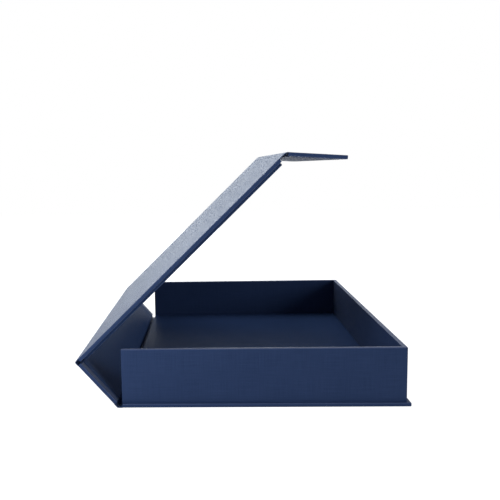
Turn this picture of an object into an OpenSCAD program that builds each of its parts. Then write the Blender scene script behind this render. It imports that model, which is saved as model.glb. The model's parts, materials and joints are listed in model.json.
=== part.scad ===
// Clamshell book box for A4 papers and prints, covered in navy book cloth.
// A case of four boards (base, spine, lid and front flap) folds on cloth hinges round
// a tray that has three walls and is open towards the spine. A panel inside the lid
// drops between the walls, and magnets in the flap hold it to the front wall.
// The origin is on the table under the middle of the tray. +X runs from the spine to
// the front, +Y from the tail wall to the head wall, +Z is up. Millimetres.

/* [Tray] */
// Length of the tray, from its open spine end to the outside of the front wall
tray_l = 222; // [180:1:320]
// Width of the tray, over the tail and head walls
tray_w = 310; // [220:1:420]
// Height of the walls above the base
wall_h = 43; // [25:1:80]
// Thickness of a wall board
wall_board_t = 3; // [2:0.25:4]
// Thickness of the tray's floor board
floor_board_t = 2; // [1.5:0.25:3]
// How far the floor board stops short of the base's edge at the open end
floor_setback = 0.05; // [0.05:0.05:0.25]

/* [Case] */
// Thickness of the case boards
case_board_t = 2.4; // [1.8:0.1:3]
// How far the case stands past the tail and head walls
side_square = 3.5; // [2:0.25:6]
// How far the base stands past the front wall
front_square = 2.6; // [2:0.1:6]
// Width of cloth turned in over the edges of the boards
turn_in = 16; // [12:1:20]
// Thickness of the book cloth
cloth_t = 0.3; // [0.2:0.05:0.4]
// Radius of the cloth where it goes over an edge
edge_r = 0.6; // [0.4:0.1:0.8]
// Gap where two turn-ins meet in a mitre
mitre_gap = 0.2; // [0.1:0.05:0.5]

/* [Lid panel] */
// Thickness of the board in the lid's inner panel
panel_board_t = 2; // [1.5:0.1:3]
// Width of cloth turned in behind the panel
panel_turn_in = 12; // [8:1:16]
// Gap between the panel and the tail and head walls
panel_side_gap = 0.8; // [0.4:0.1:2]
// Gap between the panel and the front wall
panel_front_gap = 0.8; // [0.5:0.1:4]
// How far the lid board runs on past the panel
lid_past_panel = 0.5; // [0.2:0.1:2]

/* [Closed fit] */
// Gap between the closed spine and the ends of the walls
spine_gap = 0.3; // [0.2:0.05:1]
// Gap between the closed lid and the tops of the walls
lid_gap = 0.35; // [0.25:0.05:1]
// Gap between the closed flap's lining and the front wall
flap_gap = 0.3; // [0.2:0.05:1]
// Gap between the closed flap's free edge and the base
flap_lift = 0.3; // [0.2:0.05:2]
// Slack between the two boards of a hinge when it is folded square
fold_slack = 0.3; // [0.2:0.05:1]
// Gap between the linings and the inside of the walls
lining_gap = 0.5; // [0.3:0.1:2]

/* [Hinges] */
// Radius of the outer cloth where a hinge folds
fold_r = 1.2; // [1.1:0.1:1.6]
// Length of hinge lining glued down under the tray or the lid panel
flange_l = 10; // [6:1:14]
// Cloth between the flap's fold and the flap board
flap_fold_gap = 2.4; // [2.2:0.1:4]
// How far the flap's lining stops short of its free edge
flap_lining_margin = 5; // [3:0.5:8]

/* [Closure] */
// Diameter of a flap magnet
magnet_d = 12; // [8:1:18]
// Thickness of a flap magnet
magnet_t = 1.5; // [1:0.1:1.5]
// Diameter of a steel striker in the front wall
striker_d = 14; // [8:1:20]
// Thickness of a steel striker
striker_t = 1; // [0.5:0.1:1.5]
// Distance of each magnet and striker from the middle of the box
closure_y = 95; // [60:1:105]
// Radial clearance round a magnet or a striker
pocket_gap = 0.1; // [0.05:0.05:0.3]

/* [Pose] */
// Fold between the base and the spine: 0 lies flat, 90 is closed
spine_fold = 48.5; // [10:0.05:90]
// Fold between the spine and the lid: 0 lies flat, 90 is closed
lid_fold = 87.35; // [10:0.05:90]
// Fold between the lid and the flap: 0 lies flat, 90 is closed
flap_fold = 48.35; // [10:0.05:90]

/* [Hidden] */
$fn = 48;

cloth_navy = [0.17, 0.22, 0.37];
lining_navy = [0.13, 0.17, 0.29];
greyboard = [0.62, 0.60, 0.57];
bright_steel = [0.78, 0.79, 0.80];
cut_past = 1; // how far a cutter runs past the face that it cuts

// Thicknesses and widths
case_t = case_board_t + 2 * cloth_t; // a case board with its cloth on both faces
wall_t = wall_board_t + 2 * cloth_t;
panel_t = panel_board_t + 2 * cloth_t;
case_w = tray_w + 2 * side_square;
wall_top = case_t + wall_h;
floor_top = case_t + floor_board_t;
lining_w = tray_w - 2 * wall_t - 2 * lining_gap;
flange_w = case_w - 2 * turn_in - 2 * fold_slack;

// The tray's ends
spine_end = -tray_l / 2;
front_end = tray_l / 2;

// Half of a square hinge: from the fold to the edge of the board on either side
hinge_half = case_t + 2 * cloth_t + fold_slack;
fold_z = cloth_t / 2; // the folds run in the middle of the outer cloth

// Folds, with the case lying open flat along -X from the tray
spine_fold_x = spine_end - spine_gap - case_t + cloth_t / 2;
spine_len = wall_top + lid_gap + case_t - cloth_t;
lid_fold_x = spine_fold_x - spine_len;
lid_len = front_end + flap_gap + case_t + cloth_t / 2 - spine_fold_x;
flap_fold_x = lid_fold_x - lid_len;
flap_len = spine_len + fold_z - case_t - flap_lift;

// Ends of the boards, measured from the fold that carries them
panel_start = hinge_half + cloth_t;
panel_end = front_end - wall_t - panel_front_gap - spine_fold_x;
lid_board_end = panel_end + lid_past_panel;
flap_board_end = flap_len - cloth_t;
lid_end_gap = lid_len - lid_board_end;
closure_z = case_t + wall_h / 2;
magnet_s = spine_len + fold_z - closure_z; // from the flap's fold, so that it meets its striker

module box(x, y, z) {
    translate([x[0], y[0], z[0]])
        cube([x[1] - x[0], y[1] - y[0], z[1] - z[0]]);
}

// A rectangle with round corners of radius r
module round_rect(x, y, r) {
    translate([x[0] + r, y[0]])
        square([x[1] - x[0] - 2 * r, y[1] - y[0]]);
    translate([x[0], y[0] + r])
        square([x[1] - x[0], y[1] - y[0] - 2 * r]);
    for (cx = [x[0] + r, x[1] - r], cy = [y[0] + r, y[1] - r])
        translate([cx, cy])
            circle(r);
}

// Extrusions of an outline drawn in the XZ and the YZ plane
module along_y(y) {
    translate([0, y[1], 0])
        rotate([90, 0, 0])
            linear_extrude(y[1] - y[0])
                children();
}

module along_x(x) {
    translate([x[0], 0, 0])
        rotate([90, 0, 90])
            linear_extrude(x[1] - x[0])
                children();
}

// A covered board's outer form: round along its long edges, and at an end that is closed
module covered_form(x, y, z, low_end, high_end) {
    past = 2 * edge_r;
    ends = [x[0] - (low_end ? 0 : past), x[1] + (high_end ? 0 : past)];
    intersection() {
        along_x(x)
            round_rect(y, z, edge_r);
        along_y(y)
            round_rect(ends, z, edge_r);
        translate([0, 0, z[0]])
            linear_extrude(z[1] - z[0])
                round_rect(ends, y, edge_r);
    }
}

// A slot cut down by depth along the mitre from an outer corner at p to where it ends, len
// further in. dir says which way in is, as two signs.
module mitre_slot(p, z, dir, len, depth) {
    translate([p[0], p[1], z - depth])
        rotate(atan2(dir[1], dir[0]))
            translate([2 * edge_r, -mitre_gap / 2, 0])
                cube([len * sqrt(2) - 2 * edge_r, mitre_gap, depth + cut_past]);
}

// Book cloth over a board: the outer sheet, the wrapped edges and the turn-ins, which meet
// in a mitre at each corner
module board_cloth(x, half_w, z, low_end, high_end, margin) {
    board_x = [x[0] + (low_end ? cloth_t : -cut_past), x[1] - (high_end ? cloth_t : -cut_past)];
    window_x = [x[0] + (low_end ? margin : -cut_past), x[1] - (high_end ? margin : -cut_past)];
    closed_ends = concat(low_end ? [[x[0], 1]] : [], high_end ? [[x[1], -1]] : []);
    difference() {
        covered_form(x, [-half_w, half_w], z, low_end, high_end);
        box(board_x, [cloth_t - half_w, half_w - cloth_t], [z[0] + cloth_t, z[1] - cloth_t]);
        box(window_x, [margin - half_w, half_w - margin], [z[0] + cloth_t, z[1] + cut_past]);
        for (end = closed_ends, side = [-1, 1])
            mitre_slot([end[0], side * half_w], z[1], [end[1], -side], margin, cloth_t);
    }
}

// A case board, drawn lying open flat
module case_board(x) {
    box(x, [cloth_t - case_w / 2, case_w / 2 - cloth_t], [cloth_t, case_t - cloth_t]);
}

module case_cloth(x, low_end, high_end) {
    board_cloth(x, case_w / 2, [0, case_t], low_end, high_end, turn_in);
}

// Folding: what lies open flat turns up about the fold at x
module fold(x, angle) {
    translate([x, 0, fold_z])
        rotate([0, angle, 0])
            translate([-x, 0, -fold_z])
                children();
}

module on_spine() {
    fold(spine_fold_x, spine_fold)
        children();
}

module on_lid() {
    on_spine()
        fold(lid_fold_x, lid_fold)
            children();
}

module on_flap() {
    on_lid()
        fold(flap_fold_x, flap_fold)
            children();
}

// One layer of cloth bent round a fold, in the XZ plane with the fold at the origin.
// t is the layer's lower and upper face above the outside of the case, and ends are the
// layer's reach on the unfolded and on the folded side.
module bent_layer(angle, t, ends) {
    z = [t[0] - fold_z, t[1] - fold_z];
    tangent = fold_r * tan(angle / 2);
    reach = 3 * fold_r;
    translate([tangent, z[0]])
        square([ends[0] - tangent, t[1] - t[0]]);
    rotate(-angle)
        translate([-ends[1], z[0]])
            square([ends[1] - tangent, t[1] - t[0]]);
    translate([tangent, fold_r])
        intersection() {
            difference() {
                circle(fold_r - z[0]);
                circle(fold_r - z[1]);
            }
            polygon([[0, 0], [0, -reach], [-reach * tan(angle / 2), -reach],
                     [-reach * sin(angle), -reach * cos(angle)]]);
        }
}

// A riser up the edge of a board: side 0 is the unfolded board, side 1 the folded one
module riser(side, angle, s, t) {
    if (side == 0)
        translate([s[0], t[0] - fold_z])
            square([s[1] - s[0], t[1] - t[0]]);
    else
        rotate(-angle)
            translate([-s[1], t[0] - fold_z])
                square([s[1] - s[0], t[1] - t[0]]);
}

// The outer cloth across a hinge, doubled by the turn-ins along its two ends
module hinge_cloth(x, angle, halves) {
    translate([x, 0, fold_z]) {
        along_y([-case_w / 2, case_w / 2])
            bent_layer(angle, [0, cloth_t], halves);
        for (y = [[-case_w / 2, turn_in - case_w / 2], [case_w / 2 - turn_in, case_w / 2]])
            along_y(y) {
                bent_layer(angle, [cloth_t, 2 * cloth_t], halves);
                for (side = [0, 1])
                    riser(side, angle, [halves[side] - cloth_t, halves[side]], [cloth_t, case_t]);
            }
    }
}

// The lining pressed into a hinge. A side with a flange is glued down between the board's
// turn-ins, and a side without one runs up to meet the lining that goes on over the board.
module hinge_lining(x, angle, halves, flanges) {
    translate([x, 0, fold_z]) {
        along_y([-lining_w / 2, lining_w / 2]) {
            bent_layer(angle, [2 * cloth_t, 3 * cloth_t],
                       [halves[0] - cloth_t, halves[1] - cloth_t]);
            for (side = [0, 1])
                riser(side, angle, [halves[side] - 2 * cloth_t, halves[side] - cloth_t],
                      [2 * cloth_t, case_t + (flanges[side] ? 0 : cloth_t)]);
        }
        along_y([-flange_w / 2, flange_w / 2])
            for (side = [0, 1])
                if (flanges[side])
                    riser(side, angle, [halves[side] - 2 * cloth_t, halves[side] + flange_l],
                          [case_t - cloth_t, case_t]);
    }
}

// A lining sheet over the inside of a case board
module case_lining(x) {
    box(x, [-lining_w / 2, lining_w / 2], [case_t, case_t + cloth_t]);
}

// Case, base
base_x = [spine_fold_x + hinge_half, front_end + front_square];

module base_board() {
    color(greyboard)
        case_board([base_x[0], base_x[1] - cloth_t]);
}

module base_cover() {
    color(cloth_navy)
        case_cloth(base_x, false, true);
}

// Tray
floor_start = base_x[0] + floor_setback;
side_wall_y = [tray_w / 2 - wall_t + cloth_t, tray_w / 2 - cloth_t];
wall_board_z = [case_t, wall_top - cloth_t];

module side_wall_board(side) {
    y = side < 0 ? [-side_wall_y[1], -side_wall_y[0]] : side_wall_y;
    box([spine_end + cloth_t, front_end - cloth_t], y, wall_board_z);
}

module front_wall_block() {
    box([front_end - wall_t + cloth_t, front_end - cloth_t],
        [-side_wall_y[0], side_wall_y[0]], wall_board_z);
}

module tray_floor_board() {
    color(greyboard)
        box([floor_start, front_end - wall_t + cloth_t],
            [-side_wall_y[0], side_wall_y[0]], [case_t, floor_top]);
}

module tail_wall_board() {
    color(greyboard)
        side_wall_board(-1);
}

module head_wall_board() {
    color(greyboard)
        side_wall_board(1);
}

// A disc that lies flat against the outer face of the front wall board or of the flap board
module wall_disc(y, d, t) {
    translate([front_end - cloth_t - t, y, closure_z])
        rotate([0, 90, 0])
            cylinder(h = t, d = d);
}

module front_wall_board() {
    color(greyboard)
        difference() {
            front_wall_block();
            for (y = [-closure_y, closure_y])
                wall_disc(y, striker_d + 2 * pocket_gap, striker_t);
        }
}

module tail_striker() {
    color(bright_steel)
        wall_disc(-closure_y, striker_d, striker_t);
}

module head_striker() {
    color(bright_steel)
        wall_disc(closure_y, striker_d, striker_t);
}

// A covered wall, round along its top edges and up its ends
module covered_wall(x, y) {
    intersection() {
        covered_form(x, y, [case_t - 2 * edge_r, wall_top], true, true);
        box(x, y, [case_t, wall_top]);
    }
}

module tray_walls_form() {
    covered_wall([spine_end, front_end], [-tray_w / 2, wall_t - tray_w / 2]);
    covered_wall([spine_end, front_end], [tray_w / 2 - wall_t, tray_w / 2]);
    covered_wall([front_end - wall_t, front_end], [-tray_w / 2, tray_w / 2]);
}

// One strip of cloth over the outside, the tops and the inside of the three walls
module tray_wall_cloth() {
    color(cloth_navy)
        difference() {
            tray_walls_form();
            for (side = [-1, 1])
                side_wall_board(side);
            front_wall_block();
            tray_floor_board();
            for (side = [-1, 1])
                mitre_slot([front_end, side * tray_w / 2], wall_top, [-1, -side], wall_t + cloth_t,
                           cloth_t);
        }
}

// The lining goes over the floor and down its open edge
module tray_floor_lining() {
    lining_x = [floor_start - cloth_t, front_end - wall_t];
    lining_z = [case_t, floor_top + cloth_t];
    color(lining_navy)
        difference() {
            along_y([wall_t - tray_w / 2, tray_w / 2 - wall_t]) {
                translate([lining_x[0] + cloth_t, lining_z[0]])
                    square([lining_x[1] - lining_x[0] - cloth_t, lining_z[1] - lining_z[0]]);
                translate([lining_x[0], lining_z[0]])
                    square([cloth_t, lining_z[1] - lining_z[0] - cloth_t]);
                translate([lining_x[0] + cloth_t, lining_z[1] - cloth_t])
                    circle(cloth_t);
            }
            tray_floor_board();
        }
}

// Spine and its hinge to the base
spine_x = [lid_fold_x + hinge_half, spine_fold_x - hinge_half];

module spine_board() {
    color(greyboard)
        on_spine()
            case_board(spine_x);
}

module spine_cover() {
    color(cloth_navy)
        on_spine()
            case_cloth(spine_x, false, false);
}

module spine_lining() {
    color(lining_navy)
        on_spine()
            case_lining([spine_x[0] - cloth_t, spine_x[1] + cloth_t]);
}

module spine_hinge_cloth() {
    color(cloth_navy)
        hinge_cloth(spine_fold_x, spine_fold, [hinge_half, hinge_half]);
}

module spine_hinge_lining() {
    color(lining_navy)
        hinge_lining(spine_fold_x, spine_fold, [hinge_half, hinge_half], [true, false]);
}

// Lid, its panel and its hinge to the spine
lid_x = [lid_fold_x - lid_board_end, lid_fold_x - hinge_half];
panel_x = [lid_fold_x - panel_end, lid_fold_x - panel_start];
panel_half_w = tray_w / 2 - wall_t - panel_side_gap;
panel_z = [case_t, case_t + panel_t];

module lid_board() {
    color(greyboard)
        on_lid()
            case_board(lid_x);
}

module lid_cover() {
    color(cloth_navy)
        on_lid()
            case_cloth(lid_x, false, false);
}

module lid_panel_board() {
    color(greyboard)
        on_lid()
            box([panel_x[0] + cloth_t, panel_x[1] - cloth_t],
                [cloth_t - panel_half_w, panel_half_w - cloth_t],
                [panel_z[0] + cloth_t, panel_z[1] - cloth_t]);
}

// The panel's face is inwards, so its turn-ins lie against the lid
module lid_panel_cloth() {
    color(lining_navy)
        on_lid()
            translate([0, 0, panel_z[0] + panel_z[1]])
                mirror([0, 0, 1])
                    board_cloth(panel_x, panel_half_w, panel_z, true, true, panel_turn_in);
}

module lid_hinge_cloth() {
    color(cloth_navy)
        on_spine()
            hinge_cloth(lid_fold_x, lid_fold, [hinge_half, hinge_half]);
}

module lid_hinge_lining() {
    color(lining_navy)
        on_spine()
            hinge_lining(lid_fold_x, lid_fold, [hinge_half, hinge_half], [false, true]);
}

// Flap, its magnets and its hinge to the lid
flap_x = [flap_fold_x - flap_len, flap_fold_x - flap_fold_gap];

module flap_disc(y, d, t) {
    translate([flap_fold_x - magnet_s, y, case_t - cloth_t - t])
        cylinder(h = t, d = d);
}

module flap_board() {
    color(greyboard)
        on_flap()
            difference() {
                case_board([flap_x[0] + cloth_t, flap_x[1]]);
                for (y = [-closure_y, closure_y])
                    flap_disc(y, magnet_d + 2 * pocket_gap, magnet_t);
            }
}

module flap_cover() {
    color(cloth_navy)
        on_flap()
            case_cloth(flap_x, true, false);
}

module flap_lining() {
    color(lining_navy)
        on_flap()
            case_lining([flap_x[0] + flap_lining_margin, flap_x[1] + cloth_t]);
}

module tail_magnet() {
    color(bright_steel)
        on_flap()
            flap_disc(-closure_y, magnet_d, magnet_t);
}

module head_magnet() {
    color(bright_steel)
        on_flap()
            flap_disc(closure_y, magnet_d, magnet_t);
}

module flap_hinge_cloth() {
    color(cloth_navy)
        on_lid()
            hinge_cloth(flap_fold_x, flap_fold, [lid_end_gap, flap_fold_gap]);
}

module flap_hinge_lining() {
    color(lining_navy)
        on_lid()
            hinge_lining(flap_fold_x, flap_fold, [lid_end_gap, flap_fold_gap], [true, false]);
}

base_board();
base_cover();
tray_floor_board();
tail_wall_board();
head_wall_board();
front_wall_board();
tray_wall_cloth();
tray_floor_lining();
tail_striker();
head_striker();
spine_board();
spine_cover();
spine_lining();
spine_hinge_cloth();
spine_hinge_lining();
lid_board();
lid_cover();
lid_panel_board();
lid_panel_cloth();
lid_hinge_cloth();
lid_hinge_lining();
flap_board();
flap_cover();
flap_lining();
flap_hinge_cloth();
flap_hinge_lining();
tail_magnet();
head_magnet();
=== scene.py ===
"""A clamshell book box in navy book cloth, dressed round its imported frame."""

import json
import logging
import math
from collections import Counter
from dataclasses import dataclass, field
from enum import Enum
from itertools import accumulate, product
from typing import Any, Callable, Iterable, Iterator, Optional, Sequence, Union

import bmesh
import bpy
from mathutils import Matrix, Vector, noise


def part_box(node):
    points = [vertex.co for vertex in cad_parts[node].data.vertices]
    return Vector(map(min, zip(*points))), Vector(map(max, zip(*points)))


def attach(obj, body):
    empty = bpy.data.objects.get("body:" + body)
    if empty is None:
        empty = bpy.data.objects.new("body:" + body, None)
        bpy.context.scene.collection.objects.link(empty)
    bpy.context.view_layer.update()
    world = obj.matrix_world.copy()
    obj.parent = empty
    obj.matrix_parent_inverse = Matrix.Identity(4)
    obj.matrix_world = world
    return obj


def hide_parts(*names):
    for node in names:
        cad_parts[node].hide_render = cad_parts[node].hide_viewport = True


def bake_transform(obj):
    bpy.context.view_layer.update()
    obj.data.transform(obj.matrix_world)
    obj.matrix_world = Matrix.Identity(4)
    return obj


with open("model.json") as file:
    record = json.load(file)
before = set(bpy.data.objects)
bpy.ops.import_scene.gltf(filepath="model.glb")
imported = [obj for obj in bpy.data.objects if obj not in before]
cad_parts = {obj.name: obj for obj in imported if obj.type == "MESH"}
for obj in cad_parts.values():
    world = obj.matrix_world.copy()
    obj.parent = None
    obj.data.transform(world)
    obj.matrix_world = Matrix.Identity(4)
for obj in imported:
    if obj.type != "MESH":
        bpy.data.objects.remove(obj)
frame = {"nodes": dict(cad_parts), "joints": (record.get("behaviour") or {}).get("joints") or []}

# One millimetre in metres. The lengths after it are in millimetres.
MM = 0.001
CLOTH = 0.3
FOLD_DEPTH = CLOTH / 2
TURN_IN = 16.0
EDGE_ROUND = 0.6
RIPPLE = 0.015
FLAT_STEP = 6.0
CLOSE = 0.01

# Past this angle an edge stays sharp, and below this length a cross product says nothing
SHARP = math.radians(50.0)
TINY = 1e-12

# Directions, a colour, and what each mesh carries for its finish
ALONG = Vector((1.0, 0.0, 0.0))
ACROSS = Vector((0.0, 1.0, 0.0))
UP = Vector((0.0, 0.0, 1.0))
WHITE = (1.0, 1.0, 1.0)
WEAVE_MAP = "weave"
# The mesh attribute that marks edge wear and a painted highlight on rounded edges and wall tops.
WEAR_AND_HIGHLIGHT = "rub"
LOG = logging.getLogger("book_box")

Colour = tuple[float, float, float]
Number = Union[float, "Wire"]
Owner = Union[bpy.types.Material, bpy.types.World]
Place = tuple[float, float, float]
Span = tuple[float, float]
Spot = tuple[int, ...]
Station = tuple[Vector, Vector, float, float]


class Body(Enum):
    """The four bodies that the box's pieces ride on."""

    TRAY = "tray"
    SPINE = "spine"
    LID = "lid"
    FLAP = "flap"


class Slot(Enum):
    """The material slots of the record."""

    COVER = "book_cloth"
    LINING = "lining_cloth"


class Graph:
    """A shader's node tree, built from calls and from arithmetic on wires."""

    def __init__(self, owner: Owner) -> None:
        """Empties an owner's tree.

        Args:
            owner: The material or the world that the tree is for.
        """
        owner.use_nodes = True
        self.owner = owner
        self.tree = owner.node_tree
        self.tree.nodes.clear()

    def node(self, kind: str, settings: Optional[dict[str, Any]] = None,
             sockets: Optional[dict[Union[str, int], Any]] = None) -> bpy.types.Node:
        """Adds a node, sets it up and feeds its sockets.

        Args:
            kind: The node's type.
            settings: The node's own properties.
            sockets: Values or wires for its inputs, by name or by place.

        Returns:
            The node.
        """
        made = self.tree.nodes.new(kind)
        for key, value in (settings or {}).items():
            setattr(made, key, value)
        for key, value in (sockets or {}).items():
            self._feed(made.inputs[key], value)
        return made

    def wire(self, made: bpy.types.Node, output: Union[str, int] = 0) -> "Wire":
        """The wire from one of a node's outputs."""
        return Wire(self, made.outputs[output])

    def math(self, operation: str, *terms: Number) -> "Wire":
        """A Math node on numbers or wires."""
        made = self.node("ShaderNodeMath", {"operation": operation}, dict(enumerate(terms)))
        return self.wire(made)

    def noise(self, place: "Wire", scale: float, detail: float, **settings: str) -> "Wire":
        """Soft noise at a place, from about 0 to 1."""
        sockets = {"Vector": place, "Scale": scale, "Detail": detail}
        return self.wire(self.node("ShaderNodeTexNoise", settings, sockets), "Fac")

    def mix(self, factor: "Wire", low: Union[Colour, "Wire"], high: Colour) -> "Wire":
        """The colour that is low at factor 0 and high at 1."""
        sockets = {"Factor": factor, 6: low, 7: high}
        return self.wire(self.node("ShaderNodeMix", {"data_type": "RGBA"}, sockets), 2)

    def bump(self, height: "Wire", strength: float, distance: float) -> "Wire":
        """The normal of a face that rises with height."""
        sockets = {"Strength": strength, "Distance": distance, "Height": height}
        return self.wire(self.node("ShaderNodeBump", sockets=sockets))

    def finish(self, shader: "Wire", output: str = "ShaderNodeOutputMaterial") -> Owner:
        """Ends the tree in shader and returns the tree's owner."""
        self.node(output, sockets={"Surface": shader})
        return self.owner

    def _feed(self, socket: bpy.types.NodeSocket, value: Any) -> None:
        """Links a wire to a socket, or sets the socket's own value.

        Args:
            socket: The input to feed.
            value: A wire, a number or a colour.
        """
        if isinstance(value, Wire):
            self.tree.links.new(value.socket, socket)
        elif socket.type == "RGBA" and len(value) == 3:
            socket.default_value = (*value, 1.0)
        else:
            socket.default_value = value


@dataclass(frozen=True)
class Wire:
    """An output of a shader graph. Arithmetic on it adds Math nodes."""

    graph: Graph
    socket: bpy.types.NodeSocket

    def __add__(self, other: Number) -> "Wire":
        """This plus other."""
        return self.graph.math("ADD", self, other)

    def __radd__(self, other: Number) -> "Wire":
        """The same sum from the other side."""
        return self.graph.math("ADD", other, self)

    def __sub__(self, other: Number) -> "Wire":
        """This less other."""
        return self.graph.math("SUBTRACT", self, other)

    def __rsub__(self, other: Number) -> "Wire":
        """A number less this."""
        return self.graph.math("SUBTRACT", other, self)

    def __mul__(self, other: Number) -> "Wire":
        """This times other."""
        return self.graph.math("MULTIPLY", self, other)

    def __rmul__(self, other: Number) -> "Wire":
        """The same product from the other side."""
        return self.graph.math("MULTIPLY", other, self)

    def __truediv__(self, other: Number) -> "Wire":
        """This over other."""
        return self.graph.math("DIVIDE", self, other)

    def __rtruediv__(self, other: Number) -> "Wire":
        """A number over this."""
        return self.graph.math("DIVIDE", other, self)

    def __abs__(self) -> "Wire":
        """This without its sign."""
        return self.graph.math("ABSOLUTE", self)

    def sine(self) -> "Wire":
        """The sine of this, in radians."""
        return self.graph.math("SINE", self)


@dataclass(frozen=True)
class BookCloth:
    """A starched cotton book cloth in a plain weave, its threads a little uneven.

    Attributes:
        name: The material's name.
        deep: The darkest colour: painted shade in the hollows between threads, and the dye where slubs
            and clouds are low.
        face: The colour of the threads.
        wear_and_highlight_colour: The colour of cloth worn over a board's edge, which also paints a
            highlight on the rounded edges and on the tray walls' tops.
        pitch: The distance from thread to thread, in millimetres.
        roughness: How matt the face is.
        uneven: How much the slubs change the roughness.
        ior: The starch's index of refraction, on which its shine depends.
        sheen: The pale bloom of the fibres at a low angle.
        sheen_roughness: How widely that bloom spreads.
        bloom: The colour of that bloom.
        slub: The width and length of a thick stretch of thread, in millimetres.
        cloud: The size of the clouds in the dye, in millimetres.
        tones: How much threads, slubs and clouds lighten the colour.
        tone_start: The tone where there are none of them.
        wear_and_highlight_show: How strongly that worn, painted-highlight colour shows.
        heights: How high the threads and the slubs stand, as shares of the relief.
        relief: The height of the weave, in metres.
        relief_strength: How strongly the relief shades the face.
    """

    name: str
    deep: Colour
    face: Colour
    wear_and_highlight_colour: Colour
    pitch: float = 0.46
    roughness: float = 0.3
    uneven: float = 0.16
    ior: float = 1.14
    sheen: float = 0.8
    sheen_roughness: float = 0.12
    bloom: Colour = (0.72, 0.82, 1.0)
    slub: Span = (0.55, 22.0)
    cloud: float = 60.0
    tones: tuple[float, float, float] = (0.3, 0.45, 0.3)
    tone_start: float = -0.05
    wear_and_highlight_show: float = 0.9
    heights: Span = (0.7, 1.2)
    relief: float = 0.00006
    relief_strength: float = 0.5

    def build(self) -> bpy.types.Material:
        """Makes the material.

        Returns:
            The finished material.
        """
        graph = Graph(bpy.data.materials.new(self.name))
        place = graph.wire(graph.node("ShaderNodeUVMap", {"uv_map": WEAVE_MAP}))
        split = graph.node("ShaderNodeSeparateXYZ", sockets={"Vector": place})
        along, over = graph.wire(split, "X"), graph.wire(split, "Y")
        warp, weft = ((way * (math.pi / self.pitch)).sine() for way in (along, over))
        crossing = warp * weft
        # The thread term paints the hollows between threads darker than their crests: painted shade in
        # the weave.
        thread = abs(warp) * (0.5 + crossing * 0.5) + abs(weft) * (0.5 - crossing * 0.5)
        slubs = self._slubs(graph, along, over) + self._slubs(graph, over, along)
        clouds = graph.noise(place, 1.0 / self.cloud, detail=3.0, noise_dimensions="2D")
        by_thread, by_slub, by_cloud = self.tones
        tone = thread * by_thread + slubs * by_slub + clouds * by_cloud + self.tone_start
        # Edge wear and painted highlight: a paler colour where the cloth goes round an edge and over the
        # tray walls' tops.
        rub = graph.wire(graph.node("ShaderNodeAttribute", {"attribute_name": WEAR_AND_HIGHLIGHT}), "Fac")
        dyed = graph.mix(tone, self.deep, self.face)
        height = thread * self.heights[0] + slubs * self.heights[1]
        shader = graph.node("ShaderNodeBsdfPrincipled", sockets={
            "Base Color": graph.mix(rub * slubs * self.wear_and_highlight_show, dyed, self.wear_and_highlight_colour),
            "Roughness": self.roughness + slubs * self.uneven - self.uneven / 2,
            "IOR": self.ior,
            "Sheen Weight": self.sheen,
            "Sheen Roughness": self.sheen_roughness,
            "Sheen Tint": self.bloom,
            "Normal": graph.bump(height, self.relief_strength, self.relief),
        })
        return graph.finish(graph.wire(shader))

    def _slubs(self, graph: Graph, over: Wire, along: Wire) -> Wire:
        """Thick and thin threads: noise drawn out along them.

        Args:
            graph: The material's tree.
            over: The place across the threads, in millimetres.
            along: The place along them.

        Returns:
            How thick the thread is, from about 0 to 1.
        """
        width, length = self.slub
        place = graph.node("ShaderNodeCombineXYZ", sockets={0: over / width, 1: along / length})
        return graph.noise(graph.wire(place), scale=1.0, detail=2.0, noise_dimensions="2D")


@dataclass(frozen=True)
class BindersBoard:
    """Grey binder's board, pressed from waste paper.

    Attributes:
        name: The material's name.
        dark: The colour of its darkest fibres.
        pale: The colour of its palest ones.
        fibre_scale: How fine its fibres are, in noise cells to the metre.
        pulp_scale: How fine the clouds of pulp are.
        fibre_share: How much of the shade comes from the fibres.
        roughness: How matt it is.
        relief: How high the fibres stand, in metres.
        relief_strength: How strongly they shade the face.
    """

    name: str = "greyboard"
    dark: Colour = (0.16, 0.15, 0.135)
    pale: Colour = (0.34, 0.325, 0.30)
    fibre_scale: float = 900.0
    pulp_scale: float = 90.0
    fibre_share: float = 0.6
    roughness: float = 0.9
    relief: float = 0.0001
    relief_strength: float = 0.3

    def build(self) -> bpy.types.Material:
        """Makes the material.

        Returns:
            The finished material.
        """
        graph = Graph(bpy.data.materials.new(self.name))
        place = graph.wire(graph.node("ShaderNodeTexCoord"), "Object")
        fibres = graph.noise(place, self.fibre_scale, detail=4.0)
        pulp = graph.noise(place, self.pulp_scale, detail=3.0)
        shade = fibres * self.fibre_share + pulp * (1.0 - self.fibre_share)
        shader = graph.node("ShaderNodeBsdfPrincipled", sockets={
            "Base Color": graph.mix(shade, self.dark, self.pale),
            "Roughness": self.roughness,
            "Normal": graph.bump(shade, self.relief_strength, self.relief),
        })
        return graph.finish(graph.wire(shader))


@dataclass(frozen=True)
class DiscMetal:
    """Plated or bare steel of the closure discs, with fine turning marks.

    Attributes:
        name: The material's name.
        colour: The metal's colour.
        roughness: How matt it is between the marks.
        uneven: How much the marks change the roughness.
        mark_scale: How fine the marks are, in noise cells to the metre.
        relief: How deep the marks are, in metres.
        relief_strength: How strongly they shade the face.
    """

    name: str
    colour: Colour
    roughness: float
    uneven: float = 0.12
    mark_scale: float = 1500.0
    relief: float = 0.00005
    relief_strength: float = 0.1

    def build(self) -> bpy.types.Material:
        """Makes the material.

        Returns:
            The finished material.
        """
        graph = Graph(bpy.data.materials.new(self.name))
        place = graph.wire(graph.node("ShaderNodeTexCoord"), "Object")
        marks = graph.noise(place, self.mark_scale, detail=2.0)
        shader = graph.node("ShaderNodeBsdfPrincipled", sockets={
            "Base Color": self.colour,
            "Metallic": 1.0,
            "Roughness": self.roughness + marks * self.uneven,
            "Normal": graph.bump(marks, self.relief_strength, self.relief),
        })
        return graph.finish(graph.wire(shader))


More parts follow.
